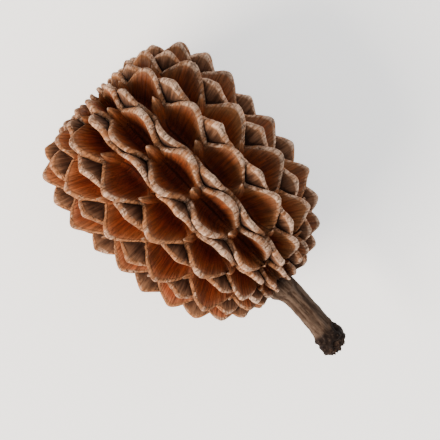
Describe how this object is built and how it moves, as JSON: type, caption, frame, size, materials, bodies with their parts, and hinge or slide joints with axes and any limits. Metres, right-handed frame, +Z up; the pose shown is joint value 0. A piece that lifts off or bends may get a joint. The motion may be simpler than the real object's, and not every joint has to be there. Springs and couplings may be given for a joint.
{
  "type": "casuarina cone",
  "caption": "Dry open casuarina seed cone with paired woody valves in staggered columns and a short stalk, lying on its side.",
  "frame": {"origin": "under the middle of the whole object, in the plane of the flats that it rests on", "axes": "+X along the cone's axis from the stalk to the apex, +Z up, the cone lying on its side"},
  "size_m": [0.0214, 0.0134, 0.013],
  "materials": {
    "cone_wood": "dry, rough, red-brown in the mouths with paler worn rims",
    "stalk_bark": "matt grey-brown bark with a blackened broken end"
  },
  "bodies": {
    "root": {"cone": "cone_wood", "stalk": "stalk_bark"}
  },
  "joints": []
}
